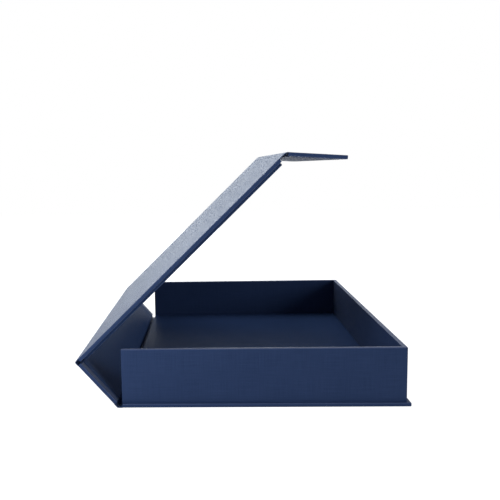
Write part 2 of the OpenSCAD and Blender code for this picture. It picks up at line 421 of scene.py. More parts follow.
NAVY = BookCloth("navy_book_cloth", deep=(0.008, 0.021, 0.062), face=(0.026, 0.047, 0.118),
                 wear_and_highlight_colour=(0.075, 0.100, 0.190))
NAVY_LINING = BookCloth("navy_lining_cloth", deep=(0.010, 0.026, 0.076), face=(0.032, 0.060, 0.150),
                        wear_and_highlight_colour=(0.070, 0.095, 0.180), ior=1.04, sheen=0.5)
GREYBOARD = BindersBoard()
STRIKER = DiscMetal("striker_steel", (0.42, 0.42, 0.43), 0.42)
MAGNET = DiscMetal("magnet_plating", (0.62, 0.61, 0.58), 0.2)


@dataclass(frozen=True)
class Leaf:
    """One leaf of the case as seen from one of its folds, in leaf millimetres.

    Attributes:
        fold: A point on the fold, in metres.
        out: The way from the fold along the leaf.
        inward: The way from the leaf's outer face to its inner one.
    """

    fold: Vector
    out: Vector
    inward: Vector

    def at(self, s: float, y: float, t: float) -> Vector:
        """A point s out from the fold, y across and t in from the outer face."""
        return self.fold + (self.out * s + ACROSS * y + self.inward * (t - FOLD_DEPTH)) * MM

    def extent(self, node: str) -> tuple[Span, Span, Span]:
        """A CAD node's reach along s, y and t.

        Args:
            node: The CAD node's name.

        Returns:
            The lowest and highest s, y and t.
        """
        places = [v.co - self.fold for v in frame["nodes"][node].data.vertices]
        ways = ((self.out, 0.0), (ACROSS, 0.0), (self.inward, FOLD_DEPTH))
        reach = [[p.dot(way) / MM + start for p in places] for way, start in ways]
        return tuple((min(r), max(r)) for r in reach)


def leaf_along(fold: Vector, towards: Vector, inward: Vector) -> Leaf:
    """A leaf from a fold towards a point."""
    return Leaf(fold, (towards - fold).normalized(), inward)


class CaseFrame:
    """The three folds and four leaves of the case at rest, read from the frame's joints."""

    def __init__(self, joints: Iterable[dict[str, Any]]) -> None:
        """Reads the folds and works out which way each leaf lies.

        Args:
            joints: The frame's joints.
        """
        by_name = {j["name"]: j for j in joints}
        spine, lid, flap = (by_name[n] for n in ("spine_hinge", "lid_hinge", "flap_hinge"))
        base_fold, lid_fold, flap_fold = (Vector(j["pos_m"]) for j in (spine, lid, flap))
        turned = 0.0
        inward = {Body.TRAY: UP}
        for body, joint in ((Body.SPINE, spine), (Body.LID, lid), (Body.FLAP, flap)):
            turned -= math.radians(joint["range_deg"][0])
            inward[body] = Vector((math.sin(turned), 0.0, math.cos(turned)))
        flap_out = Vector((-math.cos(turned), 0.0, math.sin(turned)))
        self.base = Leaf(base_fold, ALONG, inward[Body.TRAY])
        self.spine = leaf_along(base_fold, lid_fold, inward[Body.SPINE])
        self.spine_back = leaf_along(lid_fold, base_fold, inward[Body.SPINE])
        self.lid = leaf_along(lid_fold, flap_fold, inward[Body.LID])
        self.lid_back = leaf_along(flap_fold, lid_fold, inward[Body.LID])
        self.flap = Leaf(flap_fold, flap_out, inward[Body.FLAP])


class Skin:
    """A surface grown from grids of points in millimetres, that thickens into cloth."""

    def __init__(self) -> None:
        """Starts with no points."""
        self.points: list[Vector] = []
        self.weave: list[Optional[tuple[float, float]]] = []
        self.rub: list[float] = []
        self.faces: list[tuple[int, ...]] = []

    def add(self, point: Sequence[float], weave: Optional[tuple[float, float]] = None,
            rub: float = 0.0) -> int:
        """Adds a point.

        Args:
            point: The point.
            weave: Its place on the cloth, or None to take it from the face's direction.
            rub: How worn the cloth is there and how much painted highlight it takes, from 0 to 1.

        Returns:
            The point's number.
        """
        self.points.append(Vector(point))
        self.weave.append(weave)
        self.rub.append(rub)
        return len(self.points) - 1

    def grid(self, rows: Sequence[Sequence[int]]) -> None:
        """Adds the faces between rows of points.

        Args:
            rows: The numbers of the points in each row.
        """
        for low, high in zip(rows, rows[1:]):
            for i in range(len(low) - 1):
                corners = (low[i], low[i + 1], high[i + 1], high[i])
                if len(set(corners)) == 4:
                    self.faces.append(corners)

    def join(self, other: "Skin") -> None:
        """Takes in another skin's points and faces.

        Args:
            other: The other skin.
        """
        start = len(self.points)
        self.points += other.points
        self.weave += other.weave
        self.rub += other.rub
        self.faces += [tuple(i + start for i in face) for face in other.faces]

    def normals(self) -> list[Vector]:
        """The normal at each point, weighted by the angle of each face there.

        Returns:
            The normals, in the order of the points.
        """
        total = [Vector() for _ in self.points]
        for face in self.faces:
            count = len(face)
            for k, i in enumerate(face):
                before = self.points[face[k - 1]] - self.points[i]
                after = self.points[face[(k + 1) % count]] - self.points[i]
                turn = after.cross(before)
                if turn.length > TINY:
                    total[i] += turn.normalized() * after.angle(before)
        return [n.normalized() for n in total]

    def turn_to(self, way: Vector) -> None:
        """Turns the faces over if they look away from a direction on the whole."""
        if sum(n.dot(way) for n in self.normals()) < 0:
            self.faces = [face[::-1] for face in self.faces]

    def thicken(self, depth: float, normals: Optional[Sequence[Vector]] = None) -> None:
        """Closes the surface into a sheet that lies depth below it.

        Args:
            depth: The sheet's thickness.
            normals: The normal at each point, where it is known exactly.
        """
        ways = normals or self.normals()
        count = len(self.points)
        for i in range(count):
            self.add(self.points[i] - ways[i] * depth, self.weave[i], self.rub[i])
        edges = Counter()
        for face in self.faces:
            edges.update(zip(face, face[1:] + face[:1]))
        rims = [(b, a, a + count, b + count) for a, b in edges if (b, a) not in edges]
        below = [tuple(i + count for i in reversed(face)) for face in self.faces]
        self.faces += below + rims

    def piece(self, name: str, place: Callable[[Vector], Vector],
              material: bpy.types.Material) -> bpy.types.Object:
        """Makes the mesh object.

        Args:
            name: The piece's name.
            place: Turns a point of the skin into metres in the box's frame.
            material: The material that it wears.

        Returns:
            The object, in the scene.
        """
        mesh = bpy.data.meshes.new(name)
        mesh.from_pydata([place(p) for p in self.points], [], self.faces)
        mesh.materials.append(material)
        layer = mesh.uv_layers.new(name=WEAVE_MAP)
        for polygon, face in zip(mesh.polygons, self.faces):
            mapped = self._face_weave(face)
            for loop, uv in zip(polygon.loop_indices, mapped):
                layer.data[loop].uv = uv
        rub = mesh.attributes.new(WEAR_AND_HIGHLIGHT, "FLOAT", "POINT")
        rub.data.foreach_set("value", self.rub)
        self._tidy(mesh)
        made = bpy.data.objects.new(name, mesh)
        bpy.context.scene.collection.objects.link(made)
        return made

    def _face_weave(self, face: tuple[int, ...]) -> list[Span]:
        """Where a face's corners lie on the cloth, in millimetres.

        Args:
            face: The numbers of its corners.

        Returns:
            Their places on the cloth.
        """
        if all(self.weave[i] is not None for i in face):
            return [self.weave[i] for i in face]
        a, b, c = (self.points[i] for i in face[:3])
        normal = (b - a).cross(c - b)
        least = max(range(3), key=lambda axis: abs(normal[axis]))
        u, v = [axis for axis in (1, 0, 2) if axis != least]
        return [(self.points[i][u], self.points[i][v]) for i in face]

    @staticmethod
    def _tidy(mesh: bpy.types.Mesh) -> None:
        """Turns every face outwards and shades it smooth, apart from sharp edges.

        Args:
            mesh: The mesh to change.
        """
        work = bmesh.new()
        work.from_mesh(mesh)
        bmesh.ops.recalc_face_normals(work, faces=work.faces)
        for f in work.faces:
            f.smooth = True
        for e in work.edges:
            e.smooth = not (e.is_manifold and e.calc_face_angle(0.0) > SHARP)
        work.to_mesh(mesh)
        work.free()


def ripple(seed: float, height: float, length: float) -> Callable[[float, float], float]:
    """Gentle unevenness of glued cloth.

    Args:
        seed: Sets one piece's ripples apart from another's.
        height: How far they rise, in millimetres.
        length: How far apart they are, in millimetres.

    Returns:
        A function of two places on the cloth.
    """
    return lambda a, b: height * noise.noise(Vector((a / length, b / length, seed)))


def spread(low: float, high: float, step: float) -> list[float]:
    """Even places from low to high, no more than step apart."""
    count = max(1, math.ceil((high - low) / step))
    return [low + (high - low) * i / count for i in range(count + 1)]


def runs(path: Sequence[Sequence[float]]) -> list[float]:
    """How far along a path each of its points lies."""
    return list(accumulate((math.dist(a, b) for a, b in zip(path, path[1:])), initial=0.0))


def quarter(count: int) -> list[Span]:
    """Steps round a quarter turn of radius 1: how far off its first line each is, and how far along."""
    turns = (math.pi / 2 * k / count for k in range(1, count + 1))
    return [(1 - math.cos(a), math.sin(a)) for a in turns]


@dataclass(frozen=True)
class Wrap:
    """Cloth wrapped round a board: its room, and which of its ends it goes over.

    Attributes:
        s: The covered board's reach out from the fold.
        y: Its reach across.
        t: Its reach in from the outer face.
        ends: Whether the cloth goes over the low and the high end.
        turn_in: The width of cloth turned in.
        flipped: Whether the turn-ins lie on the outer side.
        seed: Sets its ripples apart.
        radius: The radius of the cloth over an edge.
        arc: The steps round half of that curve.
        leads: Where the first two steps past the curve lie.
        margin_step: The widest step over a turned-in margin.
        wave_length: How far apart the ripples are.
        mitre: The half width and the depth of the dip where two turn-ins meet.
        wear_and_highlight_power: How fast the wear and the painted highlight fade from the middle of the
            curve.
    """

    s: Span
    y: Span
    t: Span
    ends: tuple[bool, bool]
    turn_in: float = TURN_IN
    flipped: bool = False
    seed: float = 0.0
    radius: float = EDGE_ROUND
    arc: int = 3
    leads: Span = (0.25, 0.9)
    margin_step: float = 1.2
    wave_length: float = 45.0
    mitre: Span = (0.6, 0.16)
    wear_and_highlight_power: int = 6

    def skin(self) -> Skin:
        """Builds the cloth as a closed sheet.

        Returns:
            The skin, in leaf millimetres.
        """
        marks = self._stations(self.s, self.ends), self._stations(self.y, (True, True)), self._depths()
        skin, normals, numbers = Skin(), [], {}
        for ring, outward in self._rings(marks):
            for spot in ring:
                if spot not in numbers:
                    point, normal, rub = self._vertex(marks, spot)
                    numbers[spot] = skin.add(point, rub=rub)
                    normals.append(normal)
            corners = tuple(numbers[spot] for spot in ring)
            skin.faces.append(corners if outward else corners[::-1])
        skin.thicken(CLOTH, normals)
        return skin

    def _rings(self, marks: Sequence[Sequence[float]]) -> Iterator[tuple[list[Spot], bool]]:
        """Goes over the sides of the board that the cloth covers.

        Args:
            marks: The places along s, y and t.

        Yields:
            A face's four corners, as numbers in marks, and whether they run round its outside.
        """
        last = [len(axis) - 1 for axis in marks]
        for fixed, side in product(range(3), (0, 1)):
            if fixed == 0 and not self.ends[side]:
                continue
            a, b = [axis for axis in range(3) if axis != fixed]
            outward = ((side == 1) != (fixed == 1)) != self.flipped
            for i, j in product(range(last[a]), range(last[b])):
                ring = []
                for di, dj in ((0, 0), (1, 0), (1, 1), (0, 1)):
                    spot = [0, 0, 0]
                    spot[fixed], spot[a], spot[b] = last[fixed] * side, i + di, j + dj
                    ring.append(tuple(spot))
                if not (fixed == 2 and side == 1 and self._in_window(marks, ring)):
                    yield ring, outward

    def _vertex(self, marks: Sequence[Sequence[float]], spot: Spot) -> tuple[Vector, Vector, float]:
        """One point of the cloth's outer face.

        Args:
            marks: The places along s, y and t.
            spot: The point's numbers in marks.

        Returns:
            The point, the normal there, and how worn the cloth is, which also sets its painted highlight.
        """
        corner = Vector(axis[i] for axis, i in zip(marks, spot))
        core = self._core(corner)
        way = (corner - core).normalized()
        wave = ripple(self.seed, RIPPLE, self.wave_length)
        rise = wave(corner.x, corner.y) if abs(way.z) > 1.0 - CLOSE else 0.0
        if way.z >= 1.0 - CLOSE:
            rise -= self._dip(corner)
        point = core + way * (self.radius + rise)
        # Wear and painted highlight: strongest midway round a rounded edge, none on the flat faces.
        rub = 1.0 - max(abs(c) for c in way) ** self.wear_and_highlight_power
        if self.flipped:
            point.z = sum(self.t) - point.z
            way = Vector((way.x, way.y, -way.z))
        return point, way, rub

    def _curve(self) -> list[float]:
        """How far in from an edge each step of the curve over it lies."""
        angles = (math.pi / 4 * (1 - k / self.arc) for k in range(self.arc + 1))
        return [self.radius * (1 - math.tan(a)) for a in angles]

    def _stations(self, span: Span, rounded: tuple[bool, bool]) -> list[float]:
        """Places across a span: close together over a turned-in margin, wider between.

        Args:
            span: The span's ends.
            rounded: Whether the cloth goes over the low and the high end.

        Returns:
            The places, from low to high.
        """
        first, second = (self.radius + lead for lead in self.leads)
        margin = self._curve() + [first] + spread(second, self.turn_in, self.margin_step)
        low = [span[0] + m for m in margin] if rounded[0] else [span[0]]
        high = [span[1] - m for m in reversed(margin)] if rounded[1] else [span[1]]
        return low + spread(low[-1], high[0], FLAT_STEP)[1:-1] + high

    def _depths(self) -> list[float]:
        """Places through the board's thickness."""
        margin = self._curve()
        return [self.t[0] + m for m in margin] + [self.t[1] - m for m in reversed(margin)]

    def _core(self, corner: Vector) -> Vector:
        """The nearest point of the box that the round edges are swept about.

        Args:
            corner: A place on the board's box.

        Returns:
            The nearest point, a radius or more inside it.
        """
        low = self.s[0] + (self.radius if self.ends[0] else 0.0)
        high = self.s[1] - (self.radius if self.ends[1] else 0.0)
        spans = (low, high), *((a + self.radius, b - self.radius) for a, b in (self.y, self.t))
        return Vector([min(max(c, a), b) for c, (a, b) in zip(corner, spans)])

    def _in_window(self, marks: Sequence[Sequence[float]], ring: Sequence[Spot]) -> bool:
        """Whether a face lies between the turn-ins.

        Args:
            marks: The places along s, y and t.
            ring: The face's corners, as numbers in marks.

        Returns:
            True for a face that is left open.
        """
        s, y = (sum(marks[axis][spot[axis]] for spot in ring) / len(ring) for axis in (0, 1))
        low = self.s[0] + self.turn_in if self.ends[0] else -math.inf
        high = self.s[1] - self.turn_in if self.ends[1] else math.inf
        return low < s < high and self.y[0] + self.turn_in < y < self.y[1] - self.turn_in

    def _dip(self, corner: Vector) -> float:
        """How far the cloth dips where two turn-ins meet.

        Args:
            corner: The place on the board's box.

        Returns:
            The dip, in millimetres.
        """
        side = min(corner.y - self.y[0], self.y[1] - corner.y)
        gaps = zip((corner.x - self.s[0], self.s[1] - corner.x), self.ends)
        near = [abs(side - gap) for gap, used in gaps if used and gap < self.turn_in]
        width, depth = self.mitre
        return depth * max(0.0, 1.0 - min(near) / width) if near and side < self.turn_in else 0.0


def dress(made: bpy.types.Object, slot: Slot, node: str) -> None:
    """Hides the CAD node that a piece stands for, and logs the piece's faces.

    Args:
        made: The piece.
        slot: The material slot of its finish; not used.
        node: The CAD node's name.
    """
    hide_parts(node)
    LOG.info("%s: %d faces, for %s", made.name, len(made.data.polygons), node)


def on_leaf(leaf: Leaf) -> Callable[[Vector], Vector]:
    """Places leaf millimetres in the box's frame."""
    return lambda p: leaf.at(p.x, p.y, p.z)


def in_box(p: Vector) -> Vector:
    """Turns millimetres of the box's frame into metres."""
    return p * MM


@dataclass
class CoveredLeaf:
    """The cloth round one of the case's boards.

    Attributes:
        name: The piece's name.
        node: The CAD node that it stands for.
        leaf: The leaf that it lies on.
        body: The body that it rides on.
        ends: Whether it goes over the low and the high end of the board.
        slot: The material slot of its finish.
        turn_in: The width of cloth turned in.
        flipped: Whether the turn-ins lie on the outer side.
        seed: Sets its ripples apart.
    """

    name: str
    node: str
    leaf: Leaf
    body: Body
    ends: tuple[bool, bool]
    slot: Slot = Slot.COVER
    turn_in: float = TURN_IN
    flipped: bool = False
    seed: float = 0.0

    def build(self, material: bpy.types.Material) -> bpy.types.Object:
        """Builds the cloth and hangs it on its body.

        Args:
            material: Its finish.

        Returns:
            The piece.
        """
        s, y, t = self.leaf.extent(self.node)
        wrap = Wrap(s, y, t, self.ends, self.turn_in, self.flipped, self.seed)
        made = wrap.skin().piece(self.name, on_leaf(self.leaf), material)
        dress(made, self.slot, self.node)
        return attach(made, self.body.value)


@dataclass
class FaceLining:
    """A lining glued over the inside of a case board, sunk a little between the turn-ins.

    Attributes:
        name: The piece's name.
        node: The CAD node that it stands for.
        leaf: The leaf that it lies on.
        body: The body that it rides on.
        end_turned_in: Whether the case's cloth is turned in at the far end too.
        case_half: Half the case's width across.
        seed: Sets its ripples apart.
        sink: How far it sinks.
        margin: How far the lining stops short of the board's far end.
        hold: How far from its near end it is still held up.
        ease: Where the step down from a turn-in starts, and its width.
        side_marks: Places across that step at the head and the tail.
        end_marks: Places across it at the far end.
        wave_height: The height of its ripples.
        wave_length: How far apart they are.
    """

    name: str
    node: str
    leaf: Leaf
    body: Body
    end_turned_in: bool
    case_half: float
    seed: float
    sink: float = 0.22
    margin: float = 5.0
    hold: float = 2.0
    ease: Span = (-0.2, 1.4)
    side_marks: tuple[float, ...] = (0.4, -0.2, -0.8, -1.4)
    end_marks: tuple[float, ...] = (-1.2, -0.4, 0.4)
    wave_height: float = RIPPLE * 0.6
    wave_length: float = 40.0

    def build(self, material: bpy.types.Material) -> bpy.types.Object:
        """Builds the lining and hangs it on its body.

        Args:
            material: Its finish.

        Returns:
            The piece.
        """
        s, y, t = self.leaf.extent(self.node)
        edge = self.case_half - TURN_IN
        far = s[1] + self.margin - TURN_IN if self.end_turned_in else math.inf
        wave = ripple(self.seed, self.wave_height, self.wave_length)
        past = [far + d for d in self.end_marks] if self.end_turned_in else []
        beside = [sign * (edge + d) for sign in (-1, 1) for d in self.side_marks if edge + d < y[1]]
        skin, rows = Skin(), []
        for a in sorted(set(spread(*s, FLAT_STEP) + past)):
            row = []
            for b in sorted(set(spread(*y, FLAT_STEP) + beside)):
                inside = min(self._eased(edge - abs(b)), self._eased(far - a))
                drop = self.sink * inside * min(1.0, (a - s[0]) / self.hold)
                row.append(skin.add((a, b, t[1] - drop + wave(a, b)), (b, a)))
            rows.append(row)
        skin.grid(rows)
        skin.turn_to(UP)
        skin.thicken(CLOTH)
        made = skin.piece(self.name, on_leaf(self.leaf), material)
        dress(made, Slot.LINING, self.node)
        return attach(made, self.body.value)

    def _eased(self, distance: float) -> float:
        """0 over a turn-in and 1 well past its edge."""
        x = min(1.0, max(0.0, (distance - self.ease[0]) / self.ease[1]))
        return x * x * (3 - 2 * x)


@dataclass
class TrayWalls:
    """The strip of cloth over the outside, the tops and the inside of the tray's walls.

    Attributes:
        name: The piece's name.
        node: The CAD node that it stands for.
        floor_node: The floor's lining, which its inner edge meets.
        wall: The thickness of a covered wall.
        radius: The radius over the tops and round the outer corners.
        inner_radius: The radius in the inner corners.
        least_radius: The smallest radius over the tops, at the walls' ends.
        arc: The steps round a quarter turn.
        lead: How far below the curve over the tops the last level step lies.
        clear: How far from a corner's curve the straight stretches start.
        sliver: The width of the step where the cloth starts to stand on the floor.
        bottom: The height of the outer foot.
        top: The height of the tops.
        inner_bottom: The height of the inner foot.
    """

    name: str = "tray_walls_cloth"
    node: str = "tray_wall_cloth"
    floor_node: str = "tray_floor_lining"
    wall: float = 3.6
    radius: float = EDGE_ROUND
    inner_radius: float = 0.5
    least_radius: float = 0.02
    arc: int = 4
    lead: float = 0.25
    clear: float = 0.3
    sliver: float = 0.05
    bottom: float = field(init=False)
    top: float = field(init=False)
    inner_bottom: float = field(init=False)

    def build(self, material: bpy.types.Material) -> bpy.types.Object:
        """Builds the cloth and hangs it on the tray.

        Args:
            material: Its finish.

        Returns:
            The piece.
        """
        low, high = (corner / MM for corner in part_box(self.node))
        floor_low, floor_high = (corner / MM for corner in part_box(self.floor_node))
        self.bottom, self.top = low.z, high.z
        self.inner_bottom = floor_high.z - CLOTH
        plan = self._stations(low, high, floor_low.x + CLOTH)
        skin = Skin()
        distances = runs([outer for outer, *_ in plan])
        rows = [self._section(skin, run, *station) for run, station in zip(distances, plan)]
        skin.grid(rows)
        for row, turn in ((rows[0], 1), (rows[-1], -1)):
            half = len(row) // 2
            skin.grid([row[:half][::turn], row[:half - 1:-1][::turn]])
        skin.turn_to(UP)
        skin.thicken(CLOTH)
        made = skin.piece(self.name, in_box, material)
        dress(made, Slot.COVER, self.node)
        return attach(made, Body.TRAY.value)

    def _stations(self, low: Vector, high: Vector, floor_start: float) -> list[Station]:
        """The plan of the walls as pairs of an outer and an inner point.

        Args:
            low: The walls' lowest corner.
            high: The walls' highest corner.
            floor_start: Where the floor begins, towards the spine.

        Returns:
            Outer point, inner point, inset and inner bottom, for each station.
        """
        r, ri, w = self.radius, self.inner_radius, self.wall
        ends = [*reversed(quarter(self.arc)), (0.0, 0.0)]
        start = max(floor_start, low.x + r + self.sliver)
        straight = spread(start + 2 * self.clear, high.x - w - ri - self.clear, FLAT_STEP)
        tail = [(low.x + r - r * along, r * off, self.bottom) for off, along in ends]
        tail += [(x, 0.0, self.bottom if x <= start else self.inner_bottom)
                 for x in [start, start + self.sliver] + straight]
        pairs = [(Vector((x, low.y)), Vector((x, low.y + w)), inset, deep) for x, inset, deep in tail]
        pairs += self._corner(high.x, low.y)
        front = spread(low.y + w + ri + self.clear, 0.0, FLAT_STEP)
        pairs += [(Vector((high.x, y)), Vector((high.x - w, y)), 0.0, self.inner_bottom) for y in front]
        return pairs + [(Vector((a.x, -a.y)), Vector((b.x, -b.y)), inset, deep)
                        for a, b, inset, deep in reversed(pairs[:-1])]

    def _corner(self, x: float, y: float) -> list[Station]:
        """Stations round the corner of the tail wall and the front wall.

        Args:
            x: The front wall's outer face.
            y: The tail wall's outer face.

        Returns:
            The stations, from the tail wall on.
        """
        inner = self.wall + self.inner_radius
        made = []
        for k in range(self.arc + 1):
            angle = -math.pi / 2 + math.pi / 2 * k / self.arc
            way = Vector((math.cos(angle), math.sin(angle)))
            outside = Vector((x - self.radius, y + self.radius)) + way * self.radius
            inside = Vector((x - inner, y + inner)) + way * self.inner_radius
            made.append((outside, inside, 0.0, self.inner_bottom))
        return made

    def _section(self, skin: Skin, run: float, outer: Vector, inner: Vector, inset: float,
                 deep: float) -> list[int]:
        """Adds one section over the wall, from its outer foot to its inner foot.

        Args:
            skin: The skin to add to.
            run: How far along the strip it lies.
            outer: Its outer point in plan.
            inner: Its inner point in plan.
            inset: How far it draws in at the walls' ends.
            deep: The height of its inner foot.

        Returns:
            The numbers of its points.
        """
        r = max(self.radius - inset, self.least_radius)
        bend_start = self.top - inset - r
        level = bend_start - self.lead
        rising = [(inset, z) for z in spread(self.bottom, level, FLAT_STEP)]
        bend = [(inset, bend_start)]
        bend += [(inset + r * off, bend_start + r * up) for off, up in quarter(self.arc)]
        falling = [(self.wall - off, z) for off, z in reversed(bend)]
        last = len(rising) - 1
        falling += [(self.wall - inset, deep + (level - deep) * k / last) for k in range(last, -1, -1)]
        profile = rising + bend + falling
        across = (inner - outer) / self.wall
        numbers = []
        for (off, z), length in zip(profile, runs(profile)):
            spot = outer + across * off
            # The walls' tops take the worn colour in full, as edge wear and a painted highlight.
            rub = 1.0 if z > bend_start + CLOSE else 0.0
            numbers.append(skin.add((spot.x, spot.y, z), (run, length), rub))
        return numbers


@dataclass
class TrayFloor:
    """The lining over the tray's floor, turned down over its open edge.

    Attributes:
        name: The piece's name.
        node: The CAD node that it stands for.
        radius: The radius over the open edge.
        arc: The steps round it.
        lead: How far past it the first level step lies.
        seed: Sets its ripples apart.
        wave_height: The height of its ripples.
        wave_length: How far apart they are.
    """

    name: str = "tray_floor_cloth"
    node: str = "tray_floor_lining"
    radius: float = 0.5
    arc: int = 5
    lead: float = 0.3
    seed: float = 11.0
    wave_height: float = RIPPLE * 0.5
    wave_length: float = 40.0

    def build(self, material: bpy.types.Material) -> bpy.types.Object:
        """Builds the lining and hangs it on the tray.

        Args:
            material: Its finish.

        Returns:
            The piece.
        """
        low, high = (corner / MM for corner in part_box(self.node))
        wave = ripple(self.seed, self.wave_height, self.wave_length)
        r = self.radius
        path = [(low.x, low.z), (low.x, high.z - r)]
        path += [(low.x + r * off, high.z - r + r * up) for off, up in quarter(self.arc)]
        path += [(x, high.z) for x in spread(low.x + r + self.lead, high.x, FLAT_STEP)]
        skin, rows = Skin(), []
        for (x, z), run in zip(path, runs(path)):
            row = []
            for y in spread(low.y, high.y, FLAT_STEP):
                rise = wave(x, y) if z > high.z - CLOSE else 0.0
                row.append(skin.add((x, y, z + rise), (y, run)))
            rows.append(row)
        skin.grid(rows)
        skin.turn_to(UP)
        skin.thicken(CLOTH)
        made = skin.piece(self.name, in_box, material)
        dress(made, Slot.LINING, self.node)
        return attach(made, Body.TRAY.value)


@dataclass
class FoldCloth:
    """The cloth across one fold of the case: the cover outside and the lining inside.

    Attributes:
        name: The start of its pieces' names.
        nodes: The CAD nodes that the cover and the lining stand for.
        legs: The two leaves that meet at the fold, as seen from it.
        bodies: The bodies that the two leaves ride on; not used.
        halves: The bare cloth on either side of the fold, up to the boards.
        flanges: Whether the lining runs in under something on either side.
        bends: How far from the fold the cloth's curve reaches along each leaf.
        reach: How far from the fold the cloth would bend as the joint moves; _hang works it into two ends
            that it does not use.
        case_half: Half the case's width across.
        case_t: The thickness of a covered board.
        lining_half: Half the lining's width across.
        arc: The steps round the fold.
        lead: How far past the curve a layer's first flat point lies.
        soft: The radius where a layer turns up a board.
        soft_steps: The steps round that turn, and round the turn at the riser's tip.
        room: The least flat stretch before that turn.
        flat_step: The widest step along a leaf.
        riser_step: The widest step up a board.
        across_step: The widest step across, from the tail to the head.
        turn_in_step: The widest step across a turn-in.
    """

    name: str
    nodes: tuple[str, str]
    legs: tuple[Leaf, Leaf]
    bodies: tuple[Body, Body]
    halves: Span
    flanges: tuple[bool, bool]
    bends: Span
    reach: Span
    case_half: float
    case_t: float
    lining_half: float
    arc: int = 10
    lead: float = 0.02
    soft: float = 0.5
    soft_steps: tuple[int, int] = (4, 3)
    room: float = 0.1
    flat_step: float = 1.2
    riser_step: float = 0.8
    across_step: float = 8.0
    turn_in_step: float = 4.0

    def build(self, cover: bpy.types.Material, lining: bpy.types.Material) -> list[bpy.types.Object]:
        """Builds the outer cloth and the lining across the fold."""
        return [self._outer(cover), self._lining(lining)]

    def _inward(self) -> Vector:
        """The way into the fold, between the leaves' inner sides."""
        return self.legs[0].inward + self.legs[1].inward

    def _point(self, side: int, s: float, t: float) -> Vector:
        """A point beside the fold, in metres, at y 0."""
        return self.legs[side].at(s, 0.0, t)

    def _bend(self, t: float) -> list[Vector]:
        """Points round the fold, from the first leaf to the second.

        The middle of the outer cloth follows a quadratic curve whose control point is the fold.

        Args:
            t: The depth of the points from the leaves' outer face.

        Returns:
            Points in metres, at y 0.
        """
        start, end = (self._point(side, self.bends[side], FOLD_DEPTH) for side in (0, 1))
        corner = self.legs[0].fold
        made = []
        for k in range(self.arc + 1):
            x = k / self.arc
            spot = start * (1 - x) ** 2 + corner * 2 * x * (1 - x) + end * x ** 2
            way = ((corner - start) * (1 - x) + (end - corner) * x).normalized()
            inward = way.cross(ACROSS)
            inward *= math.copysign(1.0, inward.dot(self._inward()))
            made.append(spot + inward * (t - FOLD_DEPTH) * MM)
        return made

    def _path(self, t: float, reach: Span, risers: Span) -> list[Vector]:
        """A layer's line over the fold, with a riser up the board at either end.

        Args:
            t: The depth of the layer's inner face.
            reach: How far it runs from the fold on either side.
            risers: The depth that each riser reaches, or t for none.

        Returns:
            Points in metres, at y 0.
        """
        first, second = (self._side(side, t, reach[side], risers[side]) for side in (0, 1))
        return first[::-1] + self._bend(t) + second

    def _side(self, side: int, t: float, end: float, tip: float) -> list[Vector]:
        """A layer's line on one side of the fold, from the curve outwards.

        Args:
            side: 0 for the first leaf and 1 for the second.
            t: The depth of the layer's inner face.
            end: How far it runs from the fold.
            tip: The depth that its riser reaches, or t for none.

        Returns:
            Points in metres, at y 0.
        """
        flat = self.bends[side] + self.lead
        flat_end = max(end - self.soft, flat + self.room)
        line = [(s, t) for s in spread(flat, flat_end, self.flat_step)]
        if tip > t:
            soft = min(self.soft, end - flat - self.room)
            foot_steps, tip_steps = self.soft_steps
            line += [(end - soft + soft * along, t + soft * up) for up, along in quarter(foot_steps)]
            line += [(end, z) for z in spread(t + soft, tip - CLOTH, self.riser_step)[1:]]
            line += [(end + CLOTH * off, tip - CLOTH + CLOTH * up) for off, up in quarter(tip_steps)]
        else:
            line.append((end, t))
        return [self._point(side, s, z) for s, z in line]

    def _strip(self, skin: Skin, path: Sequence[Vector], across: Sequence[float], inner: bool) -> None:
        """Adds a strip of cloth along a path.

        Args:
            skin: The skin to add to.
            path: The line of its face, in metres, at y 0.
            across: The places across it, in millimetres.
            inner: Whether the line is its inner face.
        """
        part, rows = Skin(), []
        for spot, run in zip(path, runs(path)):
            rows.append([part.add(spot / MM + ACROSS * y, (y, run / MM)) for y in across])
        part.grid(rows)
        part.turn_to(self._inward() if inner else -self._inward())
        part.thicken(CLOTH)
        skin.join(part)

    def _outer(self, material: bpy.types.Material) -> bpy.types.Object:
        """The cover's cloth across the fold, with its turn-ins at head and tail.

        Args:
            material: Its finish.

        Returns:
            The piece.
        """
        skin = Skin()
        half = self.case_half
        whole = self._path(0.0, self.halves, (0.0, 0.0))
        self._strip(skin, whole, spread(-half, half, self.across_step), False)
        inner_reach = tuple(h - CLOTH for h in self.halves)
        turned = self._path(2 * CLOTH, inner_reach, (self.case_t, self.case_t))
        for low, high in ((-half, TURN_IN - half), (half - TURN_IN, half)):
            self._strip(skin, turned, spread(low, high, self.turn_in_step), True)
        return self._hang(skin, f"{self.name}_outer_cloth", material, Slot.COVER, self.nodes[0])

    def _lining(self, material: bpy.types.Material) -> bpy.types.Object:
        """The lining pressed into the fold.

        Args:
            material: Its finish.

        Returns:
            The piece.
        """
        skin = Skin()
        reach = tuple(h - 2 * CLOTH for h in self.halves)
        tips = tuple(self.case_t + (0.0 if flange else CLOTH) for flange in self.flanges)
        across = spread(-self.lining_half, self.lining_half, self.across_step)
        self._strip(skin, self._path(3 * CLOTH, reach, tips), across, True)
        return self._hang(skin, f"{self.name}_inner_cloth", material, Slot.LINING, self.nodes[1])

    def _hang(self, skin: Skin, name: str, material: bpy.types.Material, slot: Slot,
              node: str) -> bpy.types.Object:
        """Makes a piece and hides the CAD node that it stands for.

        Args:
            skin: The piece's skin.
            name: Its name.
            material: Its finish.
            slot: The material slot of that finish.
            node: The CAD node that it stands for.

        Returns:
            The piece.
        """
        made = skin.piece(name, in_box, material)
        dress(made, slot, node)
        first, second = self.legs
        way = (second.out - first.out).normalized()
        start = tuple(first.fold - way * self.reach[0] * MM)
        end = tuple(first.fold + way * self.reach[1] * MM)
        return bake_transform(made)


